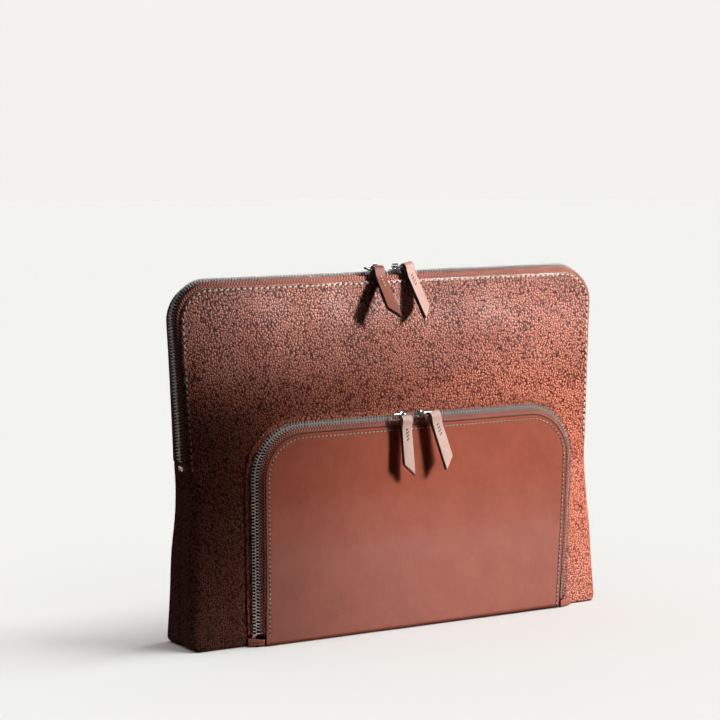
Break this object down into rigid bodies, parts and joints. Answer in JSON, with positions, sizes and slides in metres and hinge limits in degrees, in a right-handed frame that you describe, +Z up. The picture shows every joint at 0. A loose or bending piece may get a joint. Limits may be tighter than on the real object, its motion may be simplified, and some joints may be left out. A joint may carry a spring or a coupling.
{
  "type": "laptop sleeve",
  "caption": "Slim zipped leather laptop sleeve with a wider base, a zip round its top and a zipped pocket with an arched top on its front.",
  "frame": {"origin": "middle of the base, on the surface the sleeve stands on", "axes": "+X along the width to the right as seen from the front, +Y from the pocket side to the back, +Z up to the main zip"},
  "size_m": [0.3596, 0.0624, 0.2698],
  "materials": {
    "grained_leather": "pebbled cognac leather with a soft sheen",
    "smooth_leather": "smooth cognac calf leather",
    "pull_leather": "smooth leather with dark painted edges",
    "lining_cloth": "plain woven lining",
    "foam": "thin foam padding",
    "zip_tape": "herringbone woven tape",
    "zip_metal": "polished nickel",
    "thread": "waxed cream thread"
  },
  "bodies": {
    "sleeve": {"back_foam_lower": "foam", "back_lining_lower": "lining_cloth", "back_panel_lower": "grained_leather", "base_foam": "foam", "base_panel": "grained_leather", "front_foam": "foam", "front_lining": "lining_cloth", "front_panel": "grained_leather", "front_panel_stitching": "thread", "main_zip_bar_tacks": "thread", "main_zip_end_stops": "zip_metal", "main_zip_front_tape": "zip_tape", "main_zip_front_teeth": "zip_metal", "pocket_back_lining": "lining_cloth", "pocket_base_strip": "smooth_leather", "pocket_zip_end_stops": "zip_metal", "pocket_zip_end_tabs": "smooth_leather", "pocket_zip_outer_tape": "zip_tape", "pocket_zip_outer_teeth": "zip_metal"},
    "back_flap": {"back_panel_upper": "grained_leather", "back_foam_upper": "foam", "back_lining_upper": "lining_cloth", "main_zip_back_teeth": "zip_metal", "main_zip_back_tape": "zip_tape", "back_panel_stitching": "thread"},
    "pocket_flap": {"pocket_panel": "smooth_leather", "pocket_panel_lining": "lining_cloth", "pocket_zip_inner_teeth": "zip_metal", "pocket_zip_inner_tape": "zip_tape", "pocket_panel_stitching": "thread"},
    "main_left_slider": {"main_left_slider": "zip_metal"},
    "main_left_ring": {"main_left_ring": "zip_metal"},
    "main_left_pull": {"main_left_pull": "pull_leather", "main_left_pull_stitching": "thread"},
    "main_right_slider": {"main_right_slider": "zip_metal"},
    "main_right_ring": {"main_right_ring": "zip_metal"},
    "main_right_pull": {"main_right_pull": "pull_leather", "main_right_pull_stitching": "thread"},
    "pocket_left_slider": {"pocket_left_slider": "zip_metal"},
    "pocket_left_ring": {"pocket_left_ring": "zip_metal"},
    "pocket_left_pull": {"pocket_left_pull": "pull_leather", "pocket_left_pull_stitching": "thread"},
    "pocket_right_slider": {"pocket_right_slider": "zip_metal"},
    "pocket_right_ring": {"pocket_right_ring": "zip_metal"},
    "pocket_right_pull": {"pocket_right_pull": "pull_leather", "pocket_right_pull_stitching": "thread"}
  },
  "joints": [
    {"name": "back_flap_fold", "type": "hinge", "parent": "sleeve", "child": "back_flap", "pos_m": [0, 0.01292, 0.131], "axis": [-1, 0, 0], "range_deg": [0, 30], "stiffness_Nm_per_rad": 0.15},
    {"name": "pocket_flap_fold", "type": "hinge", "parent": "sleeve", "child": "pocket_flap", "pos_m": [0, -0.0305, 0.002], "axis": [1, 0, 0], "range_deg": [0, 75]},
    {"name": "main_left_slider_run", "type": "slide", "parent": "sleeve", "child": "main_left_slider", "axis": [-1, 0, 0], "range_m": [0, 0.134]},
    {"name": "main_left_ring_swing", "type": "hinge", "parent": "main_left_slider", "child": "main_left_ring", "pos_m": [-0.011, 0, 0.2662], "axis": [-1, 0, 0], "range_deg": [-2, 150]},
    {"name": "main_left_pull_swing", "type": "hinge", "parent": "main_left_ring", "child": "main_left_pull", "pos_m": [-0.0147, -0.00929, 0.26422], "axis": [-1, 0, 0], "range_deg": [-6, 90]},
    {"name": "main_right_slider_run", "type": "slide", "parent": "sleeve", "child": "main_right_slider", "axis": [1, 0, 0], "range_m": [0, 0.138]},
    {"name": "main_right_ring_swing", "type": "hinge", "parent": "main_right_slider", "child": "main_right_ring", "pos_m": [0.0063, 0, 0.2662], "axis": [-0.9848, -0.1736, 0], "range_deg": [0, 150]},
    {"name": "main_right_pull_swing", "type": "hinge", "parent": "main_right_ring", "child": "main_right_pull", "pos_m": [0.0111, -0.00879, 0.2657], "axis": [-0.9848, -0.1736, 0], "range_deg": [0, 100]},
    {"name": "pocket_left_slider_run", "type": "slide", "parent": "pocket_flap", "child": "pocket_left_slider", "axis": [-1, 0, 0], "range_m": [0, 0.08]},
    {"name": "pocket_left_ring_swing", "type": "hinge", "parent": "pocket_left_slider", "child": "pocket_left_ring", "pos_m": [0.0007, -0.02021, 0.15823], "axis": [-1, 0, 0], "range_deg": [-3, 95]},
    {"name": "pocket_left_pull_swing", "type": "hinge", "parent": "pocket_left_ring", "child": "pocket_left_pull", "pos_m": [-0.003, -0.02908, 0.15482], "axis": [-1, 0, 0], "range_deg": [-4, 85]},
    {"name": "pocket_right_slider_run", "type": "slide", "parent": "pocket_flap", "child": "pocket_right_slider", "axis": [1, 0, 0], "range_m": [0, 0.088]},
    {"name": "pocket_right_ring_swing", "type": "hinge", "parent": "pocket_right_slider", "child": "pocket_right_ring", "pos_m": [0.0178, -0.02021, 0.15823], "axis": [-1, 0, 0], "range_deg": [-3, 85]},
    {"name": "pocket_right_pull_swing", "type": "hinge", "parent": "pocket_right_ring", "child": "pocket_right_pull", "pos_m": [0.0215, -0.02957, 0.15658], "axis": [-1, 0, 0], "range_deg": [-4, 80]}
  ]
}
